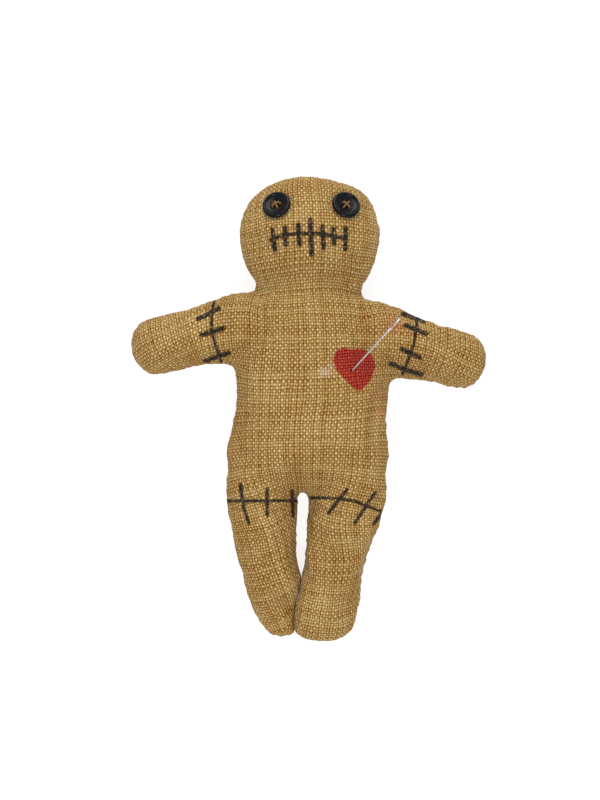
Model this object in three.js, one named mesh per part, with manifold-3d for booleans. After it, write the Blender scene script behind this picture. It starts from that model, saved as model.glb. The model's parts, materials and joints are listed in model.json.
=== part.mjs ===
// A stuffed burlap voodoo doll that lies on its back: cloth panels over fibre filling,
// two sewn-on buttons for eyes, and a darning needle stuck in its chest.
// Millimetres, +Z up. +Y runs to the head and +X to the doll's left arm.
// A front and a back panel meet at the side seam, which lies in one flat plane at rest.
// The neck, shoulders and hips bend: each limb's filling ends there in a round plug.
import * as THREE from 'three';
import { mergeVertices } from 'three/addons/utils/BufferGeometryUtils.js';
import Module from 'manifold-3d';

const wasm = await Module();
wasm.setup();

// Cloth, filling and gaps
const clothThickness = 1.0;
const fitGap = 0.3; // between pieces that touch
const swingGap = 0.5; // between a limb's round plug and its socket
const pressedFlat = 0.5; // how deep the table flattens the doll's back

// Head, with heights measured up from the neck bend
const neckWidth = 55;
const neckDepth = 39;
const jawHeight = 15;
const jawWidth = 67.5;
const jawDepth = 44;
const cheekHeight = 31;
const headWidth = 74.5;
const headDepth = 47;
const browHeight = 46;
const browWidth = 67.5;
const browDepth = 41;
const crownHeight = 56;
const crownWidth = 54;
const crownDepth = 29;
const headHeight = 63.4;
const neckRootDepth = 34;
const neckRootLength = 16;

// Torso, with drops measured down from the neck bend, and its shift off the neck's centre
const neckX = 0.5;
const neckY = 62.5;
const collarDrop = 10;
const collarWidth = 74;
const collarDepth = 41;
const chestDrop = 32;
const chestWidth = 81;
const chestDepth = 45;
const waistDrop = 57;
const waistWidth = 80.5;
const torsoDepth = 47;
const bellyDrop = 78;
const bellyWidth = 83;
const seatDrop = 95;
const seatWidth = 84;
const seatDepth = 43;
const groinDrop = 103;
const groinWidth = 64;
const groinDepth = 30;
const crotchDrop = 107.5;
const chestShift = 0.6;
const bellyShift = -0.9;
const seatShift = -1.5;
const groinShift = -3;
const crotchShift = -4;

// Arms, with lengths measured out from the shoulder bend
const armLengthLeft = 43;
const armLengthRight = 46;
const armpitWidth = 38;
const shoulderRootLength = 24;
const shoulderRootWidth = 38;
const shoulderRootDepth = 40;
const shoulderWidth = 33;
const armDepth = 28;
const forearmReach = 13;
const forearmWidth = 30.2;
const handLength = 14; // from the widest part of the mitten hand to its tip
const handWidth = 30;
const handDepth = 25;
const fingerLength = 6;
const fingerWidth = 23;
const fingerDepth = 17;
const shoulderLeft = new THREE.Vector2(54.5, 33.2);
const shoulderRight = new THREE.Vector2(-51.8, 40.4);
const slopeLeft = 14; // degrees that each arm runs down from level
const slopeRight = 12;

// Legs, with lengths measured down from the hip bend
const hipY = -54;
const hipLeftX = 18.5;
const hipRightX = -24.7;
const hipRootLength = 24;
const hipRootDepth = 38;
const thighDepth = 31;
const kneeReach = 30;
const kneeDepth = 30;
const ankleReach = 54;
const toeReach = 67;
const thighWidthLeft = 39.3;
const kneeWidthLeft = 33.8;
const ankleWidthLeft = 33;
const ankleDepthLeft = 27;
const toeWidthLeft = 26;
const toeDepthLeft = 21;
const legLengthLeft = 73.5;
const leanLeft = 9.7; // degrees that each leg runs in towards the other
const thighWidthRight = 34.6;
const kneeWidthRight = 31.4;
const ankleWidthRight = 26.5;
const ankleDepthRight = 24;
const toeWidthRight = 15.5;
const toeDepthRight = 16;
const legLengthRight = 71.5;
const leanRight = 8.3;
const legsMeetX = -6.3; // where the feet press against each other
const legsMeetGap = 0.5;

// How the limbs lie and how far they bend, in degrees
const armDroop = 6;
const legDroop = 10.8;
const headForward = 30;
const headBack = 15;
const headFlare = 10; // the head widens past the neck by this angle
const armForward = 60;
const armBack = 15;
const legForward = 70;
const legBack = 10;

// Eye buttons, on the head
const eyeHeight = 44.9; // above the neck bend
const eyeSpacing = 36.3;
const eyeShift = 0.35;
const buttonDiameter = 15.2;
const buttonThickness = 2.6;
const buttonRim = 2.1;
const buttonDish = 1.0;
const buttonHoleDiameter = 2.0;
const buttonHoleCircle = 4.4;
const buttonTurnLeft = 45; // degrees that the four holes are turned
const buttonTurnRight = 22;

// The thread that ties each button on
const tieDiameter = 1.1;
const tieCrossing = 0.8; // how far the upper stitch rides above the lower one
const knotDiameter = 6.4;
const knotThickness = 1.4;

// Darning needle
const needleLength = 54;
const needleDiameter = 1.2;
const needleBuried = 13;
const needleTaper = 9;
const needlePush = 8; // how much further it can be pushed in
const needleEyeLength = 6.2;
const needleEyeSlot = 0.7;
const needleHeadLength = 11;
const needleHeadWidth = 1.9;
const needleEntry = new THREE.Vector2(21.8, 19.7);
const needleHeading = 48; // degrees from +X, seen from the front
const needleRise = 25; // degrees above the doll's front

// Mesh steps
const ringsPerStation = 2;
const sidesAround = 12;
const roundSteps = 32;

const radians = THREE.MathUtils.degToRad;
const far = 200;

// Materials
const burlap = new THREE.MeshStandardMaterial({ color: 0xa98a58, roughness: 0.92, metalness: 0 });
const fibre = new THREE.MeshStandardMaterial({ color: 0xeeebe2, roughness: 1, metalness: 0 });
const blackPlastic = new THREE.MeshStandardMaterial({ color: 0x14161a, roughness: 0.28, metalness: 0 });
const ochreThread = new THREE.MeshStandardMaterial({ color: 0x9c6427, roughness: 0.85, metalness: 0 });
const steel = new THREE.MeshStandardMaterial({ color: 0xc9cbd0, roughness: 0.22, metalness: 1 });

// A closed geometry as a solid that can be joined and cut.
function solid(geometry) {
  const bare = geometry.index ? geometry.toNonIndexed() : geometry.clone();
  bare.deleteAttribute('normal');
  bare.deleteAttribute('uv');
  const merged = mergeVertices(bare, 1e-4);
  const vertProperties = merged.attributes.position.array;
  const triVerts = new Uint32Array(merged.index.array);
  return new wasm.Manifold(new wasm.Mesh({ numProp: 3, vertProperties, triVerts }));
}

// A solid back as a flat-shaded geometry.
function geometryOf(shape) {
  const { vertProperties, triVerts } = shape.getMesh();
  const indexed = new THREE.BufferGeometry();
  indexed.setAttribute('position', new THREE.BufferAttribute(vertProperties, 3));
  indexed.setIndex(new THREE.BufferAttribute(triVerts, 1));
  const flat = indexed.toNonIndexed();
  flat.computeVertexNormals();
  return flat;
}

function named(name, shape, material) {
  const mesh = new THREE.Mesh(geometryOf(shape), material);
  mesh.name = name;
  return mesh;
}

// A stuffed form along +X. Each station is [along, shift, width, depth], and the outline
// runs through their edges and round the tip. An inset draws the whole skin in evenly.
function stuffedForm({ stations, tip }, inset) {
  const root = stations[0][0] + inset;
  const edge = (side) =>
    stations.map(([along, shift, width]) => new THREE.Vector2(Math.max(along, root), shift + side * (width / 2 - inset)));
  const plus = edge(1);
  const minus = edge(-1);
  const end = new THREE.Vector2(tip[0] - inset, tip[1]);
  const outline = new THREE.SplineCurve([...plus, end, ...minus.reverse()]);
  const fullness = stations.map(([, , width, depth]) => (depth / 2 - inset) / (width / 2 - inset));
  const rings = stations.length * ringsPerStation;
  const points = [];
  for (let k = 0; k < rings; k++) {
    const t = k / rings / 2;
    const p = outline.getPoint(t);
    const q = outline.getPoint(1 - t);
    const station = Math.floor(k / ringsPerStation);
    const next = Math.min(station + 1, stations.length - 1);
    const ratio = THREE.MathUtils.lerp(fullness[station], fullness[next], k / ringsPerStation - station);
    const middle = p.clone().add(q).divideScalar(2);
    const half = p.clone().sub(q).divideScalar(2);
    for (let j = 0; j < sidesAround; j++) {
      const angle = (2 * Math.PI * j) / sidesAround;
      const side = middle.clone().addScaledVector(half, Math.cos(angle));
      points.push(side.x, side.y, half.length() * ratio * Math.sin(angle));
    }
  }
  points.push(end.x, end.y, 0);
  points.push(root, stations[0][1], 0);
  const tipPoint = rings * sidesAround;
  const rootPoint = tipPoint + 1;
  const faces = [];
  for (let j = 0; j < sidesAround; j++) {
    const on = (j + 1) % sidesAround;
    faces.push(rootPoint, on, j);
    for (let k = 0; k < rings - 1; k++) {
      const a = k * sidesAround + j;
      const b = k * sidesAround + on;
      faces.push(a, b, b + sidesAround, a, b + sidesAround, a + sidesAround);
    }
    const last = (rings - 1) * sidesAround;
    faces.push(last + j, last + on, tipPoint);
  }
  const geometry = new THREE.BufferGeometry();
  geometry.setAttribute('position', new THREE.Float32BufferAttribute(points, 3));
  geometry.setIndex(faces);
  return geometry;
}

// A block between two corners.
function block(low, high) {
  const size = high.map((value, i) => value - low[i]);
  const box = new THREE.BoxGeometry(...size);
  box.translate(...high.map((value, i) => (value + low[i]) / 2));
  return box;
}

// A shape drawn in the along-height plane, extruded across the limb from low to high.
function prism(shape, low, high) {
  const made = new THREE.ExtrudeGeometry(shape, { depth: high - low, bevelEnabled: false, curveSegments: 8 });
  made.rotateX(Math.PI / 2);
  made.translate(0, high, 0);
  return made;
}

// The room a limb sweeps in the torso: a round socket that opens out to both limits.
function swingRoom(radius, back, forward, low, high) {
  const forwardAngle = radians(forward);
  const backAngle = radians(-back);
  const top = forwardAngle + Math.PI / 2;
  const bottom = backAngle + 1.5 * Math.PI;
  const reach = 60;
  const at = (angle, distance) => [Math.cos(angle) * distance, Math.sin(angle) * distance];
  const plus = (a, b) => [a[0] + b[0], a[1] + b[1]];
  const shape = new THREE.Shape();
  shape.moveTo(...plus(at(top, radius), at(forwardAngle, reach)));
  shape.lineTo(...at(top, radius));
  shape.absarc(0, 0, radius, top, bottom, false);
  shape.lineTo(...plus(at(bottom, radius), at(backAngle, reach)));
  return prism(shape, low, high);
}

// What a limb keeps: all beyond its bend, and a half-round plug before it.
function limbReach(radius, low, high) {
  const shape = new THREE.Shape();
  shape.moveTo(0, far);
  shape.lineTo(0, radius);
  shape.absarc(0, 0, radius, Math.PI / 2, 1.5 * Math.PI, false);
  shape.lineTo(0, -far);
  shape.lineTo(far, -far);
  shape.lineTo(far, far);
  return prism(shape, low, high);
}

// The stations of each form, root first
const headForm = {
  stations: [
    [-neckRootLength, 0, neckWidth, neckRootDepth],
    [0, 0, neckWidth, neckDepth],
    [jawHeight, 0, jawWidth, jawDepth],
    [cheekHeight, 0, headWidth, headDepth],
    [browHeight, 0, browWidth, browDepth],
    [crownHeight, 0, crownWidth, crownDepth],
  ],
  tip: [headHeight, 0],
};

const torsoForm = {
  stations: [
    [0, 0, neckWidth, neckDepth],
    [collarDrop, 0, collarWidth, collarDepth],
    [chestDrop, chestShift, chestWidth, chestDepth],
    [waistDrop, chestShift, waistWidth, torsoDepth],
    [bellyDrop, bellyShift, bellyWidth, torsoDepth],
    [seatDrop, seatShift, seatWidth, seatDepth],
    [groinDrop, groinShift, groinWidth, groinDepth],
  ],
  tip: [crotchDrop, crotchShift],
};

function armForm(length) {
  return {
    stations: [
      [-shoulderRootLength, 0, shoulderRootWidth, shoulderRootDepth],
      [-shoulderRootLength / 2, 0, armpitWidth, (shoulderRootDepth + armDepth) / 2],
      [0, 0, shoulderWidth, armDepth],
      [forearmReach, 0, forearmWidth, armDepth],
      [length - handLength, 0, handWidth, handDepth],
      [length - fingerLength, 0, fingerWidth, fingerDepth],
    ],
    tip: [length, 0],
  };
}

function legForm(length, lean, thigh, knee, ankle, toe) {
  const inward = Math.tan(radians(lean));
  return {
    stations: [
      [-hipRootLength, (-hipRootLength / 2) * inward, thigh[0], hipRootDepth],
      [0, 0, thigh[0], thigh[1]],
      [kneeReach, kneeReach * inward, knee[0], knee[1]],
      [ankleReach, ankleReach * inward, ankle[0], ankle[1]],
      [toeReach, toeReach * inward, toe[0], toe[1]],
    ],
    tip: [length, length * inward],
  };
}

const legLeftForm = legForm(
  legLengthLeft,
  -leanLeft,
  [thighWidthLeft, thighDepth],
  [kneeWidthLeft, kneeDepth],
  [ankleWidthLeft, ankleDepthLeft],
  [toeWidthLeft, toeDepthLeft],
);
const legRightForm = legForm(
  legLengthRight,
  leanRight,
  [thighWidthRight, thighDepth],
  [kneeWidthRight, kneeDepth],
  [ankleWidthRight, ankleDepthRight],
  [toeWidthRight, toeDepthRight],
);

// The five limbs: where each bends, which way it points, and how it lies and swings.
// low and high bound the limb across its bend, socketLow and socketHigh its socket, and
// beyondLow and beyondHigh what the torso gives up past the bend.
const armSide = shoulderWidth / 2 + 1;
const legMeetLeft = legsMeetX + legsMeetGap / 2 - hipLeftX;
const legMeetRight = legsMeetX - legsMeetGap / 2 - hipRightX;
const limbs = [
  {
    name: 'head',
    form: headForm,
    bend: new THREE.Vector2(neckX, neckY),
    heading: 90,
    droop: 0,
    forward: headForward + headFlare,
    back: headBack + headFlare,
    depth: neckDepth,
    low: -far,
    high: far,
    socketLow: -neckWidth / 2 - 2 * swingGap,
    socketHigh: neckWidth / 2 + 2 * swingGap,
    beyondLow: -neckWidth,
    beyondHigh: neckWidth,
  },
  {
    name: 'arm_left',
    form: armForm(armLengthLeft),
    bend: shoulderLeft,
    heading: -slopeLeft,
    droop: armDroop,
    forward: armForward - armDroop,
    back: armBack + armDroop,
    depth: armDepth,
    low: -armSide,
    high: far,
    socketLow: -armSide - swingGap,
    socketHigh: shoulderRootWidth,
    beyondLow: -armSide - swingGap,
    beyondHigh: shoulderRootWidth,
  },
  {
    name: 'arm_right',
    form: armForm(armLengthRight),
    bend: shoulderRight,
    heading: 180 + slopeRight,
    droop: armDroop,
    forward: armForward - armDroop,
    back: armBack + armDroop,
    depth: armDepth,
    low: -far,
    high: armSide,
    socketLow: -shoulderRootWidth,
    socketHigh: armSide + swingGap,
    beyondLow: -shoulderRootWidth,
    beyondHigh: armSide + swingGap,
  },
  {
    name: 'leg_left',
    form: legLeftForm,
    bend: new THREE.Vector2(hipLeftX, hipY),
    heading: -90,
    droop: legDroop,
    forward: legForward - legDroop,
    back: legBack + legDroop,
    depth: thighDepth,
    low: legMeetLeft,
    high: far,
    socketLow: -thighWidthLeft / 2 - 2 * swingGap,
    socketHigh: thighWidthLeft,
    beyondLow: -far,
    beyondHigh: far,
  },
  {
    name: 'leg_right',
    form: legRightForm,
    bend: new THREE.Vector2(hipRightX, hipY),
    heading: -90,
    droop: legDroop,
    forward: legForward - legDroop,
    back: legBack + legDroop,
    depth: thighDepth,
    low: -far,
    high: legMeetRight,
    socketLow: -thighWidthRight,
    socketHigh: thighWidthRight / 2 + 2 * swingGap,
    beyondLow: -far,
    beyondHigh: far,
  },
];

const seamHeight = torsoDepth / 2 - pressedFlat; // of the side seam above the table

// A limb's own frame in the doll's, as it lies or held straight in the seam's plane.
function limbMatrix(limb, droop) {
  const turn = new THREE.Euler(0, radians(droop), radians(limb.heading), 'ZYX');
  const matrix = new THREE.Matrix4().makeRotationFromEuler(turn);
  return matrix.setPosition(limb.bend.x, limb.bend.y, 0);
}

const torsoMatrix = limbMatrix({ heading: -90, bend: new THREE.Vector2(neckX, neckY) }, 0);

// The table's top, seen from a frame in the doll's.
function aboveTable(matrix) {
  const room = block([-far, -far, -seamHeight], [far, far, far]);
  return solid(room.applyMatrix4(matrix.clone().invert()));
}

const beforeSeam = solid(block([-far, -far, fitGap / 2], [far, far, far]));
const behindSeam = solid(block([-far, -far, -far], [far, far, -fitGap / 2]));

// Cloth is the skin between a form and the same form drawn in. It is sewn from two panels.
function panels(name, cloth) {
  return [
    named(`${name}_front_panel`, cloth.intersect(beforeSeam), burlap),
    named(`${name}_back_panel`, cloth.intersect(behindSeam), burlap),
  ];
}

// Torso: its own form joined to the root of every limb
function torsoShape(inset) {
  let shape = solid(stuffedForm(torsoForm, inset).applyMatrix4(torsoMatrix));
  for (const limb of limbs) {
    const root = stuffedForm(limb.form, inset).applyMatrix4(limbMatrix(limb, 0));
    shape = shape.add(solid(root));
  }
  return shape;
}

// Takes a socket and all beyond the bend out of the torso, for each limb.
function cutSockets(shape) {
  let left = shape;
  for (const limb of limbs) {
    const { depth, back, forward, socketLow, socketHigh } = limb;
    const room = swingRoom(depth / 2 + swingGap, back, forward, socketLow, socketHigh);
    const beyond = block([0, limb.beyondLow, -far], [far, limb.beyondHigh, far]);
    const matrix = limbMatrix(limb, 0);
    left = left.subtract(solid(room.applyMatrix4(matrix))).subtract(solid(beyond.applyMatrix4(matrix)));
  }
  return left;
}

// The height and lean of a surface under a patch of it, found by looking down on it.
function seatOn(geometry, x, y, reach) {
  const surface = new THREE.Mesh(geometry, burlap);
  const look = (dx, dy) => {
    const from = new THREE.Vector3(x + dx, y + dy, far);
    const ray = new THREE.Raycaster(from, new THREE.Vector3(0, 0, -1));
    return ray.intersectObject(surface)[0].point;
  };
  const alongX = look(reach, 0).sub(look(-reach, 0));
  const alongY = look(0, reach).sub(look(0, -reach));
  const normal = alongX.cross(alongY).normalize();
  return { point: look(0, 0), normal };
}

// Needle: a tapered shaft along +X with a flattened head and a long eye
function needleSolid() {
  const radius = needleDiameter / 2;
  const tip = -needleBuried;
  const end = needleLength - needleBuried;
  const profile = [
    [0, tip],
    [radius * 0.3, tip + needleTaper * 0.15],
    [radius * 0.75, tip + needleTaper * 0.55],
    [radius, tip + needleTaper],
    [radius, end - needleHeadLength / 2],
    [0, end - needleHeadLength / 2],
  ];
  const shaft = new THREE.LatheGeometry(profile.map(([r, y]) => new THREE.Vector2(r, y)), 12);
  shaft.rotateZ(-Math.PI / 2);
  const head = new THREE.SphereGeometry(1, 12, 12);
  head.rotateZ(Math.PI / 2);
  head.scale(needleHeadLength / 2, needleHeadWidth / 2, radius);
  head.translate(end - needleHeadLength / 2, 0, 0);
  const slotWidth = needleEyeSlot / 2;
  const slotLong = needleEyeLength / 2 - slotWidth;
  const slot = new THREE.Shape();
  slot.moveTo(-slotLong, -slotWidth);
  slot.lineTo(slotLong, -slotWidth);
  slot.absarc(slotLong, 0, slotWidth, -Math.PI / 2, Math.PI / 2, false);
  slot.lineTo(-slotLong, slotWidth);
  slot.absarc(-slotLong, 0, slotWidth, Math.PI / 2, 1.5 * Math.PI, false);
  const eye = new THREE.ExtrudeGeometry(slot, { depth: needleHeadWidth, bevelEnabled: false, curveSegments: 6 });
  eye.translate(end - needleHeadLength / 2, 0, -needleHeadWidth / 2);
  return solid(shaft).add(solid(head)).subtract(solid(eye));
}

// The channel the needle runs in, with room to push it further in.
function needleChannel(matrix) {
  const length = 2 * needleBuried + needlePush + fitGap;
  const bore = new THREE.CylinderGeometry(needleDiameter / 2 + fitGap, needleDiameter / 2 + fitGap, length, 8);
  bore.rotateZ(Math.PI / 2);
  bore.translate(needleBuried - length / 2, 0, 0);
  return solid(bore.applyMatrix4(matrix));
}

const torsoSkin = torsoShape(0);
const needleSeat = seatOn(geometryOf(torsoSkin), needleEntry.x, needleEntry.y, 1).point;
const needleMatrix = new THREE.Matrix4()
  .makeRotationFromEuler(new THREE.Euler(0, radians(-needleRise), radians(needleHeading), 'ZYX'))
  .setPosition(needleSeat);
const channel = needleChannel(needleMatrix);

const tableTop = aboveTable(new THREE.Matrix4());
const torsoCloth = cutSockets(torsoSkin.subtract(torsoShape(clothThickness)));
const torsoFilling = cutSockets(torsoShape(clothThickness + fitGap));

const doll = new THREE.Group();
doll.add(...panels('torso', torsoCloth.subtract(channel).intersect(tableTop)));
doll.add(named('torso_filling', torsoFilling.subtract(channel), fibre));

const needle = named('needle', needleSolid(), steel);
needle.applyMatrix4(needleMatrix);
doll.add(needle);

// Button: a dished disc with a rounded rim and four holes
function buttonSolid(turn) {
  const outer = buttonDiameter / 2;
  const dishTop = buttonThickness - buttonDish;
  const profile = [
    [0, 0],
    [outer - 1.6, 0],
    [outer - 0.5, 0.5],
    [outer, 1.3],
    [outer - 0.2, buttonThickness - 0.6],
    [outer - 0.8, buttonThickness],
    [outer - buttonRim + 0.5, buttonThickness - 0.15],
    [outer - buttonRim, dishTop + 0.2],
    [outer - buttonRim - 0.5, dishTop],
    [0, dishTop],
  ];
  const disc = new THREE.LatheGeometry(profile.map(([r, y]) => new THREE.Vector2(r, y)), roundSteps);
  disc.rotateX(Math.PI / 2);
  let shape = solid(disc);
  for (let quarter = 0; quarter < 4; quarter++) {
    const angle = radians(turn + 90 * quarter);
    const hole = new THREE.CylinderGeometry(buttonHoleDiameter / 2, buttonHoleDiameter / 2, far, 12);
    hole.rotateX(Math.PI / 2);
    hole.translate((Math.cos(angle) * buttonHoleCircle) / 2, (Math.sin(angle) * buttonHoleCircle) / 2, 0);
    shape = shape.subtract(solid(hole));
  }
  return shape;
}

// Tie: two stitches that cross over the button, pass through its holes and the cloth,
// and end in a flat knot behind the cloth
const knotTop = -clothThickness - 3 * fitGap;
function tieSolid(turn) {
  const radius = tieDiameter / 2;
  const leg = buttonHoleCircle / 2;
  const under = fitGap + buttonThickness - buttonDish + fitGap + radius;
  const section = new THREE.Shape();
  section.absarc(0, 0, radius, 0, 2 * Math.PI, false);
  let shape = null;
  for (const [quarter, lift] of [[0, 0], [1, tieCrossing]]) {
    const angle = radians(turn + 90 * quarter);
    const at = (share, height) =>
      new THREE.Vector3(Math.cos(angle) * leg * share, Math.sin(angle) * leg * share, height);
    const route = new THREE.CatmullRomCurve3([
      at(1, knotTop - knotThickness / 2),
      at(1, 0),
      at(1, under - radius),
      at(0.7, under + lift * 0.5),
      at(0, under + lift),
      at(-0.7, under + lift * 0.5),
      at(-1, under - radius),
      at(-1, 0),
      at(-1, knotTop - knotThickness / 2),
    ]);
    const stitch = new THREE.ExtrudeGeometry(section, { steps: 16, extrudePath: route, curveSegments: 3 });
    shape = shape ? shape.add(solid(stitch)) : solid(stitch);
  }
  const knot = new THREE.SphereGeometry(1, 12, 6);
  knot.rotateX(Math.PI / 2);
  knot.scale(knotDiameter / 2, knotDiameter / 2, knotThickness / 2);
  knot.translate(0, 0, knotTop - knotThickness / 2);
  return shape.add(solid(knot));
}

// The room that a tie needs: four holes and a round pocket for the knot
function tieRoom(turn) {
  const bottom = knotTop - knotThickness - fitGap;
  const pocketRadius = knotDiameter / 2 + fitGap;
  const pocket = new THREE.CylinderGeometry(pocketRadius, pocketRadius, knotThickness + 2 * fitGap, 12);
  pocket.rotateX(Math.PI / 2);
  pocket.translate(0, 0, knotTop - knotThickness / 2);
  let room = solid(pocket);
  for (let quarter = 0; quarter < 4; quarter++) {
    const angle = radians(turn + 90 * quarter);
    const holeRadius = tieDiameter / 2 + fitGap;
    const hole = new THREE.CylinderGeometry(holeRadius, holeRadius, -2 * bottom, 8);
    hole.rotateX(Math.PI / 2);
    hole.translate((Math.cos(angle) * buttonHoleCircle) / 2, (Math.sin(angle) * buttonHoleCircle) / 2, 0);
    room = room.add(solid(hole));
  }
  return room;
}

// Each limb: two cloth panels that end at its bend, and filling that ends in a plug
const groups = {};
const eyes = [
  { name: 'left', side: 1, turn: buttonTurnLeft },
  { name: 'right', side: -1, turn: buttonTurnRight },
];
for (const limb of limbs) {
  const { name, form, depth, low, high } = limb;
  const matrix = limbMatrix(limb, limb.droop);
  const table = aboveTable(matrix);
  const skin = stuffedForm(form, 0);
  const beyondBend = solid(block([0, low, -far], [far, high, far]));
  const beforeBend = solid(block([-far, -far, -far], [-fitGap, far, far]));
  const hollow = solid(stuffedForm(form, clothThickness));
  let cloth = solid(skin).subtract(hollow).intersect(beyondBend).intersect(table);
  const inside = solid(stuffedForm(form, clothThickness + fitGap));
  const plug = solid(skin).intersect(beforeBend);
  const reach = solid(limbReach(depth / 2, low + (name.startsWith('leg') ? fitGap : 0), high));
  let filling = inside.add(plug).intersect(reach).intersect(table);
  const group = new THREE.Group();
  if (name === 'head') {
    for (const { name: side, side: sign, turn } of eyes) {
      const { point, normal } = seatOn(skin, eyeHeight, -eyeShift - (sign * eyeSpacing) / 2, buttonDiameter / 3);
      const seat = new THREE.Matrix4()
        .makeRotationFromQuaternion(new THREE.Quaternion().setFromUnitVectors(new THREE.Vector3(0, 0, 1), normal))
        .setPosition(point);
      const room = solid(geometryOf(tieRoom(turn)).applyMatrix4(seat));
      cloth = cloth.subtract(room);
      filling = filling.subtract(room);
      const eye = new THREE.Group();
      const button = named(`eye_button_${side}`, buttonSolid(turn), blackPlastic);
      button.position.z = fitGap;
      eye.add(button, named(`button_tie_${side}`, tieSolid(turn), ochreThread));
      eye.applyMatrix4(seat);
      group.add(eye);
    }
  }
  group.add(...panels(name, cloth), named(`${name}_filling`, filling, fibre));
  group.applyMatrix4(matrix);
  groups[name] = group;
  doll.add(group);
}

// The origin is the middle of the doll's box, on the table it lies on.
const box = new THREE.Box3().setFromObject(doll, true);
const middle = box.getCenter(new THREE.Vector3());
doll.position.set(-middle.x, -middle.y, -box.min.z);

export default doll;
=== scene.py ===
import json
import math

import bmesh
import bpy
import numpy as np
from mathutils import Matrix, Vector, noise


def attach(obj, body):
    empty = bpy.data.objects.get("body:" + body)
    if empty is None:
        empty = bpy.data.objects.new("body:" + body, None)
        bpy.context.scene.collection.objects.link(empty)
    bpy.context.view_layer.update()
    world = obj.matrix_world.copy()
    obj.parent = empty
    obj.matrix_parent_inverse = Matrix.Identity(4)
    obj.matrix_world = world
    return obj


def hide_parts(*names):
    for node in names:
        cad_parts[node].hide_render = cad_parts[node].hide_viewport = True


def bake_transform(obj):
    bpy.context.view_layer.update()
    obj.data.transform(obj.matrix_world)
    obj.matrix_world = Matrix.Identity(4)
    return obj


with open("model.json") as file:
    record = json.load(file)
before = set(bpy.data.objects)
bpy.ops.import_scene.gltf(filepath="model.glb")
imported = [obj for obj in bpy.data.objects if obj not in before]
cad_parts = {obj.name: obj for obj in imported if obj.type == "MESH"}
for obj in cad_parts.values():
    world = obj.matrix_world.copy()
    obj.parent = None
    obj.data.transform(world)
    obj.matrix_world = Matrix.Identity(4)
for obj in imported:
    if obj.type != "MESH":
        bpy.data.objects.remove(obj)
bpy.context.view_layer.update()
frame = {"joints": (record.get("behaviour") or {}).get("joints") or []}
mm = 0.001

# The camera. It hangs straight over the doll and looks down on it, with the top of the
# head towards the top of the picture.
camera_height = 960 * mm  # above the side seam
camera_centre = (-4.86 * mm, 4.86 * mm)
bends = {joint["child"]: Vector(joint["pos_m"]) for joint in frame["joints"] if joint["type"] == "hinge"}
seam_height = bends["head"].z

camera = bpy.data.objects.new("camera", bpy.data.cameras.new("camera"))
bpy.context.scene.collection.objects.link(camera)
camera.data.lens = 80
camera.location = (*camera_centre, seam_height + camera_height)
bpy.context.scene.camera = camera

# The stuffing. The doll is packed hard with loose fibre, which gives each limb its round,
# tapering form. Each form is lofted from the outline that the filling makes, with its root
# deep in the trunk. The legs are filled apart, and pressed together afterwards.
arm_slope = {"arm_left": -14, "arm_right": 192}  # degrees, the way that each arm points
leg_spread = {"leg_left": 6, "leg_right": -6}  # degrees
form_sides = 40
rings_per_station = 4


def outline_point(points, share):
    """A smooth curve through the points, at a share of its run."""
    at = share * (len(points) - 1)
    i = min(int(at), len(points) - 2)
    f = at - i
    p0, p1, p2, p3 = (points[min(max(i + k, 0), len(points) - 1)] for k in (-1, 0, 1, 2))
    bowed = (2 * p0 - 5 * p1 + 4 * p2 - p3) * f + (3 * p1 - p0 - 3 * p2 + p3) * f * f
    return 0.5 * (2 * p1 + ((p2 - p0) + bowed) * f)


def stuffed_form(name, stations, tip, bend, heading):
    """Lofts ellipses through stations of (along, shift, width, depth), in millimetres,
    from the root to the rounded tip, then lays the form at its bend."""
    plus = [Vector((along, shift + width / 2)) for along, shift, width, depth in stations]
    minus = [Vector((along, shift - width / 2)) for along, shift, width, depth in stations]
    outline = [*plus, Vector(tip), *reversed(minus)]
    fullness = [depth / width for along, shift, width, depth in stations]
    rings = rings_per_station * len(stations)
    bpy.ops.object.select_all(action="DESELECT")
    bpy.ops.mesh.primitive_circle_add(
        vertices=form_sides, radius=1, fill_type="NGON", rotation=(0, math.pi / 2, 0)
    )
    form = bpy.context.active_object
    form.name = name
    bpy.ops.object.transform_apply(location=False, rotation=True, scale=True)
    bpy.ops.object.mode_set(mode="EDIT")
    bpy.ops.mesh.select_all(action="SELECT")
    centre, across, deep = Vector((0, 0, 0)), 1, 1
    for k in range(rings):
        share = k / rings / 2
        p, q = outline_point(outline, share), outline_point(outline, 1 - share)
        at = share * (len(outline) - 1)
        station = min(int(at), len(stations) - 1)
        after = min(station + 1, len(stations) - 1)
        ratio = fullness[station] + (fullness[after] - fullness[station]) * (at - station)
        new_centre = Vector(((p.x + q.x) / 2, (p.y + q.y) / 2, 0)) * mm
        new_across = abs(p.y - q.y) / 2 * mm
        new_deep = new_across * ratio
        if k:
            bpy.ops.mesh.extrude_region_move()
        bpy.ops.transform.translate(value=new_centre - centre)
        bpy.ops.transform.resize(
            value=(1, new_across / across, new_deep / deep), center_override=new_centre
        )
        centre, across, deep = new_centre, new_across, new_deep
    bpy.ops.mesh.extrude_region_move()
    bpy.ops.transform.translate(value=Vector((tip[0] * mm, tip[1] * mm, 0)) - centre)
    bpy.ops.mesh.merge(type="CENTER")
    bpy.ops.mesh.select_all(action="SELECT")
    bpy.ops.mesh.normals_make_consistent(inside=False)
    bpy.ops.object.mode_set(mode="OBJECT")
    form.matrix_world = Matrix.Translation(bend) @ Matrix.Rotation(math.radians(heading), 4, "Z")
    bpy.ops.object.transform_apply(location=True, rotation=True, scale=True)
    return form


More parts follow.
